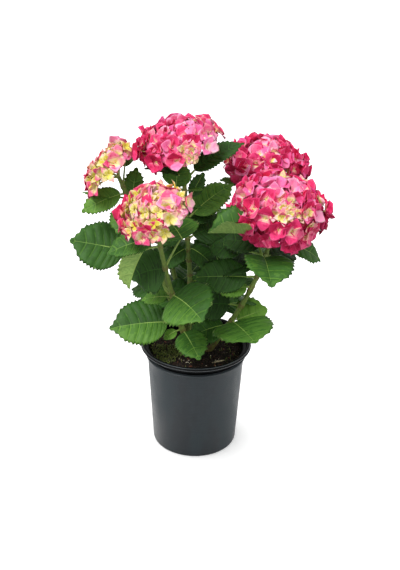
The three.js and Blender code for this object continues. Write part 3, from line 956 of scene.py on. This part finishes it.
def blade(skin, base, leaf, s, rng):
    """Adds one leaf blade: toothed, puckered between its side veins, with a raised midrib."""
    heading = math.radians(leaf.heading + leaf.turn)
    length, width = leaf.length * MM, leaf.width * MM
    rows = ROWS_PER_TOOTH * max(5, round(length / s.tooth_spacing))

    # Each row leaves the midrib at `leaves` and reaches the margin, further on, at `meets`.
    row = np.arange(rows + 1)
    meets = (row / rows) ** 1.3
    leaves = meets * (0.44 + 0.56 * meets)
    column = np.arange(-MARGIN, MARGIN + 1)
    step = np.abs(column)
    side = np.sign(column)

    # How far each point lies from the midrib: teeth shrink towards both ends of the blade.
    tooth = np.array([0, 0.5, 1, 0.35])[row % ROWS_PER_TOOTH][:, None]
    tooth_size = min(1.0, length / (60 * MM)) * np.sin(math.pi * meets) ** 0.35
    uneven = rng.uniform(0.75, 1.15, rows // ROWS_PER_TOOTH + 1)[row // ROWS_PER_TOOTH]
    teeth = s.tooth * (tooth_size * uneven)[:, None] * tooth
    half = (outline(meets) * width / 2)[:, None] * (1 + 0.03 * side * rng.normal())
    rib = np.minimum(s.rib * leaf.rib * (1 - 0.6 * leaves[:, None]), 0.3 * half)
    part = np.clip((step - 1) / (MARGIN - 1), 0, 1) ** 0.95
    across = np.where(step == 0, 0, rib + (half - rib) * part)
    across = across + np.where(step == MARGIN, teeth, 0)
    reach = np.where(half > 0, across / np.maximum(half, 1e-9), step / MARGIN)
    along = leaves[:, None] + (meets - leaves)[:, None] * np.minimum(reach, 1) ** 1.3
    along = along + np.where(step == MARGIN, tooth * 1.1 / rows, 0)
    along[-1] = 1

    # The blade's slope across: folded up at the midrib, falling and waving towards the margin.
    wave = s.wave * np.sin(2 * math.pi * (along * rng.uniform(1.6, 2.6) + rng.uniform()) + side)
    folded = np.radians(np.where(side > 0, leaf.right_fold, leaf.left_fold))
    slope = (folded + math.radians(leaf.fold) * (1 - 0.35 * reach)
             - math.radians(14) * reach ** 2 + wave * smooth(reach, 0.4, 1.1))
    out = np.zeros_like(across)
    lift = np.zeros_like(across)
    for way in (-1, 1):
        for here in range(MARGIN + way, MARGIN + way * (MARGIN + 1), way):
            before = here - way
            gap = across[:, here] - across[:, before]
            tilt = (slope[:, here] + slope[:, before]) / 2
            out[:, here] = out[:, before] + gap * np.cos(tilt)
            lift[:, here] = lift[:, before] + gap * np.sin(tilt)

    # The blade stands up between its side veins, most in the middle of each half.
    phase = (row % ROWS_PER_VEIN) / ROWS_PER_VEIN
    pillow = (np.sin(math.pi * phase) ** 0.8)[:, None] - 0.45
    spread = smooth(reach, 0.0, 0.3) * (1 - 0.7 * smooth(reach, 0.65, 1.0))
    cross = 0.8 + 0.2 * np.cos(2 * math.pi * (reach * 4 + row[:, None] / 5))
    scale = s.pucker * leaf.pucker * (length / (80 * MM)) ** 0.7
    lift += scale * pillow * spread * cross * np.sin(math.pi * meets)[:, None] ** 0.3
    lift += rng.normal(0, 0.09 * MM, lift.shape) * spread

    # The blade follows its spine, rolled about its own length.
    points, forward = spine(along, length, math.radians(leaf.rise), math.radians(leaf.droop), heading)
    sideways = np.array([math.sin(heading), -math.cos(heading), 0.0])
    normal = np.cross(sideways, forward)
    rolled = (math.radians(leaf.roll) + rng.normal(0, 0.05) * (along - 0.3))[..., None]
    lateral = np.cos(rolled) * sideways - np.sin(rolled) * normal
    normal = np.cos(rolled) * normal + np.sin(rolled) * sideways
    middle = base + points + (side * out)[..., None] * lateral + lift[..., None] * normal

    upper, lower, faces, where = blade_grid(rows, 2 * MARGIN)
    swell = 1 + 1.6 * (step < 2) * (1 - 0.7 * leaves[:, None])
    thick = s.thickness / 2 * swell * smooth(1 - reach, -0.02, 0.25)
    made = blade_points(upper, lower, middle, surface_normals(middle), thick)
    skin.add(made, faces, blade_tones(where, rows, reach, along, pillow, leaf, rng))


def blade_tones(where, rows, reach, along, pillow, leaf, rng):
    """The material index of each face of a blade."""
    under, row, column = where.T
    distance = (reach[row, column] + reach[row + 1, column + 1]) / 2
    forward = along[row, MARGIN]
    in_vein = row % ROWS_PER_VEIN
    rib = (column == MARGIN - 1) | (column == MARGIN)
    vein = (in_vein == 0) & (row > 0) & (distance < 0.86) & ~rib
    groove = ((in_vein == 1) | (in_vein == ROWS_PER_VEIN - 1)) & (distance < 0.75) & ~rib

    patch = rng.normal(0, 0.03, (rows // 4 + 2, 6))
    # The level holds the leaf's tone and its left half's offset, with their painted shade and light,
    # and is lighter on the crest of each pillow between side veins: a painted highlight.
    level = (leaf.tone + rng.normal(0, 0.03) + np.where(column < MARGIN, leaf.left, 0)
             + 0.10 * (distance - 0.5) + 0.07 * (forward - 0.4)
             + 0.08 * pillow[row, 0] + patch[row // 4, column * 6 // (2 * MARGIN + 1)]
             + rng.normal(0, 0.02, len(row)))
    level = np.where(vein, level + 0.34 * (1 - 0.6 * distance), level)
    # Faces beside a side vein are darker: painted shade in the crease.
    level = np.where(groove, level - 0.1 * (1 - distance), level)
    midrib = BLADE_TONES + (forward > 0.18 + 0.6 * min(leaf.tone, 0.6))
    # A leaf darkened by painted shade keeps its midrib a little lighter than its blade.
    if leaf.tone < 0.25:
        midrib = nearest(level + 0.3, BLADE_TONES)
    upper = np.where(rib & (forward < 0.9), midrib, nearest(level, BLADE_TONES))

    # The underside follows the leaf's tone, its painted shade included.
    below = 0.45 + 0.5 * (leaf.tone - 0.45) + 0.12 * (distance - 0.5) + rng.normal(0, 0.12, len(row))
    below = np.where(vein | rib, below + 0.35, below)
    lower = np.where(rib & (leaf.rib > 1), BLADE_TONES,
                     nearest(below, UNDER_TONES) + BLADE_TONES + 2)
    return np.where(under == 1, lower, upper)


class HYDRANGEA_OT_leaves(bpy.types.Operator):
    """Grows each leaf and its stalk on from its cane, in place of the foliage masses"""
    bl_idname = "hydrangea.leaves"
    bl_label = "Leaves"

    def execute(self, context):
        s = context.scene.hydrangea_leaves
        bark = context.scene.hydrangea_canes
        materials = shades("leaf_green", [s.dark, s.middle, s.light], BLADE_TONES, 0.55,
                           Specular_IOR_Level=0.22)
        materials += shades("leaf_midrib", [s.midrib, s.midrib_tip], 2, 0.5,
                            Specular_IOR_Level=0.3)
        materials += shades("leaf_under", [s.underside, s.underside_light], UNDER_TONES, 0.62)
        stalks = Skin()
        for number, (cane, leaves) in enumerate(LEAVES.items()):
            skin = Skin()
            for index, leaf in enumerate(leaves):
                base = self.stalk(stalks, CANES[cane], leaf, bark)
                blade(skin, base, leaf, s, np.random.default_rng(1000 * number + index))
            masses = sorted({f"foliage_{leaf.mass}" for leaf in leaves})
            skin.piece(f"leaves_{cane}", materials, masses)
        stalks.piece("leaf_stalks", [plain("leaf_stalk", bark.petiole, 0.5)])
        return {"FINISHED"}

    def stalk(self, skin, axis, leaf, bark):
        """Adds a leaf's stalk and gives the point where its blade begins."""
        reach = leaf.reach * MM
        start = axis.point(leaf.height * MM)
        base = start + straight(reach, leaf.heading, leaf.climb)
        end = base + straight(2.5 * MM, leaf.heading + leaf.turn, leaf.rise)
        pull = start + (base - start) * 0.55 + np.array([0, 0, 0.12 * reach])
        radius = bark.petiole_radius * (0.55 + 0.45 * min(1.0, leaf.length / 80))
        radii = radius * np.array([1.35, 1.2, 1.0, 0.92, 0.86, 0.82, 0.78, 0.66, 0.3])
        skin.add(*tube(curve(start, pull, end, 8), radii, 9), 0)
        return base


# ---------------------------------------------------------------- flower heads

class Bloom(NamedTuple):
    """How a head's florets are set, in millimetres and degrees."""
    florets: int            # on its surface
    inner: int              # deeper in
    buds: int               # crowded into its patch
    hang: float             # how far florets hang round its underside, -1 being all round
    lean: float             # the underside's tilt: below 0 they hang lower on the -X side
    inset: float            # how deep their centres lie
    shift: tuple            # how far they are moved along X and along Z
    young: float            # the share still cream
    patch: tuple            # heading and climb of a patch, and how far its share differs
    ripeness: float         # of the open florets, up to 1
    seed: int
    wide: float = 1.0       # how far they are spread along X
    climb: float = 0.0      # how far they climb towards +X


HEADS = {
    "front_left": Bloom(florets=104, inner=60, buds=0, hang=-0.04, lean=-0.3, inset=9,
                        shift=(4, 2), young=0.85, patch=(-75, 62, -0.75), ripeness=0.55, seed=5),
    "middle": Bloom(florets=92, inner=54, buds=12, hang=-0.03, lean=-0.56, inset=9,
                    shift=(5, -5), young=0.06, patch=(-80, 10, 0.7), ripeness=0.9, seed=7,
                    wide=1.08, climb=0.06),
    "front_right": Bloom(florets=94, inner=70, buds=14, hang=-0.38, lean=0.0, inset=11,
                         shift=(-1, 3), young=0.06, patch=(-72, 20, 0.85), ripeness=0.9, seed=3,
                         wide=1.06),
    "back_right": Bloom(florets=84, inner=50, buds=5, hang=-0.4, lean=-0.1, inset=10,
                        shift=(-2, 3), young=0.03, patch=(-90, 30, 0.3), ripeness=0.95, seed=9),
    "left": Bloom(florets=70, inner=32, buds=0, hang=-0.02, lean=-0.25, inset=8,
                  shift=(0, 3), young=0.92, patch=(-60, 60, 0.08), ripeness=0.6, seed=2,
                  climb=0.4),
}
SEPAL_ROWS, SEPAL_COLUMNS = 7, 6
# The second family of tints, paler and pinker, is a painted highlight for sepals turned up to the
# light.
SEPAL_TONES = 12            # tints of the warm lower florets; as many cool ones follow them


class Head:
    """A flower head's solid: its middle, its axis and rays out to its surface."""

    def __init__(self, name):
        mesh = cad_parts[f"head_{name}"].data
        verts = [vert.co for vert in mesh.vertices]
        self.tree = BVHTree.FromPolygons(verts, [face.vertices[:] for face in mesh.polygons])
        points = np.array(verts)
        self.centre = points.mean(0)
        spread = np.linalg.eigh(np.cov((points - self.centre).T))[1]
        self.axis = spread[:, 0] * np.sign(spread[2, 0])

    def surface(self, way):
        """Where a ray from the middle leaves the head, and the surface's outward normal."""
        point, normal, _, _ = self.tree.ray_cast(Vector(self.centre), Vector(way))
        if point is None:
            raise RuntimeError("a ray from a flower head's middle missed its surface")
        normal = np.array(normal)
        return np.array(point), normal * np.sign(np.dot(normal, way))


def shaken_ways(number, rng):
    """Directions spread evenly over a sphere, then shaken a little."""
    ways = spread_ways(number, rng.uniform(0, 6))
    return unit(ways + rng.normal(0, 0.63 / math.sqrt(number), ways.shape))


def youth(way, axis, bloom):
    """The chance that a floret on a head is still young and cream."""
    heading, climb, change = bloom.patch
    return (bloom.young * smooth(np.dot(way, axis), -0.1, 0.35)
            + change * smooth(np.dot(way, aim(heading, climb)), 0.86, 0.97))


def floret(skin, centre, facing, width, ripe, light, s, rng):
    """Adds one floret: four cupped, pointed sepals round a bead."""
    forward = unit(np.cross(facing, (0.1, 0.2, 1.0) + rng.normal(0, 0.3, 3)))
    rows = np.arange(SEPAL_ROWS + 1)[:, None] / SEPAL_ROWS
    columns = np.linspace(-1, 1, SEPAL_COLUMNS + 1)[None, :]
    upper, lower, faces, where = blade_grid(SEPAL_ROWS, SEPAL_COLUMNS)
    form = egg(rows, 0.72, 1.2)
    broad = 0.5 + 0.68 * ripe
    cup, recurve = math.radians(rng.uniform(20, 48)), math.radians(rng.uniform(-22, 34))
    spin = rng.uniform(0, math.pi / 2)
    for petal in range(4):
        over = petal % 2        # every other sepal overlaps its neighbours
        length = width / 2 * rng.uniform(0.88, 1.08)
        half = length * broad * rng.uniform(0.92, 1.08) / 2 * form
        turn = spin + petal * math.pi / 2 + rng.normal(0, 0.09)
        out = math.cos(turn) * forward + math.sin(turn) * np.cross(facing, forward)
        aside = np.cross(out, facing)

        # The sepal climbs at its base and bends back towards its tip.
        first = cup + rng.normal(0, 0.14) + 0.12 * over
        last = recurve + rng.normal(0, 0.28)
        climb = first + (last - first) * rows ** 1.2
        run = np.cumsum(np.cos(climb), 0) - np.cos(climb[0])
        rise = np.cumsum(np.sin(climb), 0) - np.sin(climb[0])
        run, rise = (length / SEPAL_ROWS * part for part in (run, rise))

        # Across, it is hollow, and its edges wave.
        hollow = rng.uniform(0.12, 0.34)
        edge = rng.uniform(-0.24, 0.24) * np.sin(2 * math.pi * (rows * 1.5 + rng.uniform()))
        bend = half * (hollow * columns ** 2 + edge * columns)
        middle = centre + run[..., None] * out + (half * columns)[..., None] * aside
        middle = middle + (rise + bend + (1.1 if over else 0.4) * MM)[..., None] * facing
        thick = s.thickness / 2 * np.sqrt(1 - columns ** 2) * np.ones_like(rows)
        made = blade_points(upper, lower, middle, -surface_normals(middle), thick)
        # A sepal whose face is turned up gets more painted light: a paler pink and, past a threshold,
        # the paler family of tints.
        pale = light - 0.3 * out[2]
        sunlit = SEPAL_TONES if pale > 0.38 else 0
        skin.add(made, [face[::-1] for face in faces], sepal_tones(where, ripe, pale, rng) + sunlit)
    bead, bead_faces = lump(0)
    skin.add(centre + bead * 1.5 * MM + facing * 1.2 * MM, bead_faces, 1)


def sepal_tones(where, ripe, pale, rng):
    """The tint of each face of a sepal: cream at its base, pink towards its tip."""
    _, row, column = where.T
    at = (row + 0.5) / SEPAL_ROWS
    rim = np.abs((column + 0.5) / SEPAL_COLUMNS * 2 - 1)
    turns_at = 0.72 - 0.56 * ripe + rng.normal(0, 0.06)
    pinkness = smooth(at + 0.14 * rim, turns_at - 0.16, turns_at + 0.26)
    # More painted light gives a paler pink.
    strength = (0.42 + 0.5 * ripe) + rng.normal(0, 0.09) - 0.34 * (pale - 0.2)
    level = pinkness * strength + (1 - pinkness) * 0.24 * ripe
    level = level - (0.07 * (rim > 0.7) + 0.12 * smooth(at, 0.6, 1.0)) * pinkness
    return nearest(level + rng.normal(0, 0.025, len(row)), SEPAL_TONES)


class HYDRANGEA_OT_florets(bpy.types.Operator):
    """Covers each flower head's surface with florets, in place of its solid"""
    bl_idname = "hydrangea.florets"
    bl_label = "Florets"

    def execute(self, context):
        s = context.scene.hydrangea_florets
        warm = [s.lime, s.cream, s.blush, s.coral, s.hot, s.deep]
        sunlit = [s.lime, s.cream, s.shell, s.orchid, s.rose, s.magenta]
        materials = shades("sepal_warm", warm, SEPAL_TONES, 0.6, Specular_IOR_Level=0.2)
        materials += shades("sepal_sunlit", sunlit, SEPAL_TONES, 0.6, Specular_IOR_Level=0.2)
        stalks = Skin()
        for name in HEADED:
            head = Head(name)
            skin = Skin()
            centres = self.open(skin, head, HEADS[name], s)
            skin.piece(f"florets_{name}", materials, [f"head_{name}"])
            self.stalks(stalks, CANES[name], head, centres)
        stalks.piece("flower_stalks", [plain("flower_stalk", s.stalk, 0.5)])
        return {"FINISHED"}

    def open(self, skin, head, bloom, s):
        """Opens a head's florets and gives their centres."""
        rng = np.random.default_rng(bloom.seed)
        upwards = unit(head.axis + np.array([bloom.lean, 0, 0]))
        moved = np.array([bloom.shift[0], 0, bloom.shift[1]]) * MM
        crowd = aim(*bloom.patch[:2]) + rng.normal(0, 0.15, (bloom.buds, 3))
        # Each layer: directions from the head's middle, how deep it lies, and whether it is buds.
        layers = [(shaken_ways(bloom.florets, rng), 0.0, False),
                  (shaken_ways(bloom.inner, rng), 8 * MM, False),
                  (unit(crowd), -2 * MM, True)]
        centres = []
        for way, deep, bud in [(way, *kind) for ways, *kind in layers for way in ways]:
            if np.dot(way, upwards) < bloom.hang:
                continue
            point, normal = head.surface(way)
            young = bud or rng.uniform() < youth(way, head.axis, bloom)
            if young:
                ripe = rng.uniform(0.0, 0.3) + 0.15 * (bloom.ripeness > 0.8)
            else:
                ripe = float(np.clip(rng.normal(bloom.ripeness, 0.12), 0, 1))
            facing = unit(0.6 * normal + 0.4 * way + way * (1, 1, 0) * s.outward
                          + rng.normal(0, math.tan(s.jitter) / 1.7, 3))
            width = s.young_width + (s.open_width - s.young_width) * smooth(ripe, 0.1, 0.8)
            width *= rng.uniform(0.88, 1.08) * (0.72 if bud else 1)
            inset = (bloom.inset + 8 * max(0.0, way[2]) + rng.uniform(-1.5, 3.0)) * MM + deep
            centre = point - normal * inset + moved
            beside = centre[0] - head.centre[0]
            centre += np.array([bloom.wide - 1, 0, bloom.climb]) * beside
            centres.append(centre)
            # Florets high on the head and turned up get more painted light, which deals them paler,
            # pinker tints.
            high = 0.5 * facing[2] + 0.6 * way[2]
            light = 0.7 * smooth(high, -0.1, 0.7) * rng.uniform(0.4, 1.3) + rng.normal(0, 0.1)
            # Florets turned down are dealt deeper pinks through their ripeness: a painted shade on
            # the head's underside.
            if not young:
                ripe += 0.14 * (1 - smooth(facing[2], -0.45, 0.15))
            floret(skin, centre, facing, width, ripe, light, s, rng)
        return np.array(centres)

    def stalks(self, skin, axis, head, centres):
        """Branches the top of the cane out to the florets, through a few boughs."""
        inside = axis.direction(axis.high) * 3 * MM
        top = axis.point(axis.high) - inside
        boughs = shaken_ways(14, np.random.default_rng(1))
        boughs = boughs[boughs @ head.axis > -0.35]
        carried_by = np.argmax(unit(centres - top) @ boughs.T, axis=1)
        for number in np.unique(carried_by):
            mine = centres[carried_by == number]
            fork = top + (mine.mean(0) - top) * 0.45
            pull = top + (fork - top) * 0.5 + inside
            skin.add(*tube(curve(top, pull, fork, 5), np.linspace(1.7, 1.15, 6) * MM, 7), 0)
            for centre in mine:
                bend = fork + (centre - fork) * 0.55 + boughs[number] * 2 * MM
                skin.add(*tube(curve(fork, bend, centre, 4), np.linspace(0.8, 0.6, 5) * MM, 5), 0)


# ---------------------------------------------------------------- stage

class HYDRANGEA_OT_stage(bpy.types.Operator):
    """Sets the pale floor, the soft studio lights and the camera"""
    bl_idname = "hydrangea.stage"
    bl_label = "Stage"

    def execute(self, context):
        s = context.scene.hydrangea_stage
        context.scene.view_settings.view_transform = "Standard"
        floor = self.floor(s)
        self.sky(s)
        self.sun("key_light", s.key, (-0.55, -0.45, 1.0), 30, floor, "EXCLUDE")
        self.sun("fill_light", s.fill, (0.9, -0.5, 0.6), 60, floor, "EXCLUDE")
        self.sun("floor_light", s.floor_light, (-0.2, 0.1, 1.0), 60, floor, "INCLUDE")
        self.camera(s)
        return {"FINISHED"}

    def camera(self, s):
        """A camera before the plant, above it and looking down on it."""
        camera = bpy.data.objects.new("camera", bpy.data.cameras.new("camera"))
        camera.data.lens = s.lens
        camera.data.sensor_width = 36.0
        camera.data.clip_start, camera.data.clip_end = 0.01, 60.0
        bpy.context.scene.collection.objects.link(camera)
        camera.matrix_world = (Matrix.Translation(s.camera) @ Matrix.Rotation(s.tilt, 4, "X")
                               @ Matrix.Rotation(s.roll, 4, "Z"))
        bpy.context.scene.camera = camera

    def floor(self, s):
        """A wide pale floor that throws no light back on the plant."""
        half = 12.0
        corners = [(-half, -half, 0), (half, -half, 0), (half, half, 0), (-half, half, 0)]
        mesh = bpy.data.meshes.new("floor")
        mesh.from_pydata(corners, [], [(0, 1, 2, 3)])
        mesh.materials.append(plain("floor_paint", s.floor, 0.9, Specular_IOR_Level=0.1,
                                    Emission_Color=s.floor, Emission_Strength=s.glow))
        floor = bpy.data.objects.new("floor", mesh)
        bpy.context.scene.collection.objects.link(floor)
        floor.visible_diffuse = False
        return floor

    def sky(self, s):
        """Even light from all round, weaker from below."""
        world = bpy.data.worlds.new("studio")
        world.use_nodes = True
        background = world.node_tree.nodes["Background"]
        g = Graph(world.node_tree)
        way = g.node("ShaderNodeTexCoord", {}, {}, "Generated")
        up = g.node("ShaderNodeSeparateXYZ", {}, {"Vector": way}, "Z")
        g.set(background, "Color", g.ramp(up * 0.5 + 0.5, (0.4, s.ground), (0.6, 1.0)))
        g.set(background, "Strength", s.sky)
        bpy.context.scene.world = world

    def sun(self, name, strength, source, spread, floor, state):
        """A soft light from a direction, which lights all but the floor, or the floor alone.

        The floor's own light is shaded by the pot alone.
        """
        lamp = bpy.data.objects.new(name, bpy.data.lights.new(name, "SUN"))
        lamp.data.energy = strength
        lamp.data.angle = math.radians(spread)
        lamp.rotation_euler = Vector(source).to_track_quat("Z", "Y").to_euler()
        bpy.context.scene.collection.objects.link(lamp)
        lit = bpy.data.collections.new(name)
        lit.objects.link(floor)
        lit.collection_objects[0].light_linking.link_state = state
        lamp.light_linking.receiver_collection = lit
        if state == "INCLUDE":
            shade = bpy.data.collections.new(f"{name}_shade")
            shade.objects.link(bpy.data.objects["pot_shell"])
            lamp.light_linking.blocker_collection = shade


# ---------------------------------------------------------------- panel and run

# The steps, in order: each one's settings and operator.
STEPS = {
    "pot": (PotSettings, HYDRANGEA_OT_pot),
    "soil": (SoilSettings, HYDRANGEA_OT_soil),
    "canes": (CaneSettings, HYDRANGEA_OT_canes),
    "leaves": (LeafSettings, HYDRANGEA_OT_leaves),
    "florets": (FloretSettings, HYDRANGEA_OT_florets),
    "stage": (StageSettings, HYDRANGEA_OT_stage),
}


class HYDRANGEA_PT_panel(bpy.types.Panel):
    """Lists the pieces and their settings"""
    bl_label = "Hydrangea"
    bl_space_type = "VIEW_3D"
    bl_region_type = "UI"
    bl_category = "Hydrangea"

    def draw(self, context):
        for step in STEPS:
            box = self.layout.box()
            box.operator(f"hydrangea.{step}")
            settings = getattr(context.scene, f"hydrangea_{step}")
            for name in settings.__annotations__:
                box.prop(settings, name)


CLASSES = [*(cls for pair in STEPS.values() for cls in pair), HYDRANGEA_PT_panel]


def register():
    for cls in CLASSES:
        bpy.utils.register_class(cls)
    for step, (settings, _) in STEPS.items():
        setattr(bpy.types.Scene, f"hydrangea_{step}", PointerProperty(type=settings))


def unregister():
    for step in STEPS:
        delattr(bpy.types.Scene, f"hydrangea_{step}")
    for cls in reversed(CLASSES):
        bpy.utils.unregister_class(cls)


def main():
    register()
    for step in STEPS:
        getattr(bpy.ops.hydrangea, step)()


if __name__ == "__main__":
    main()
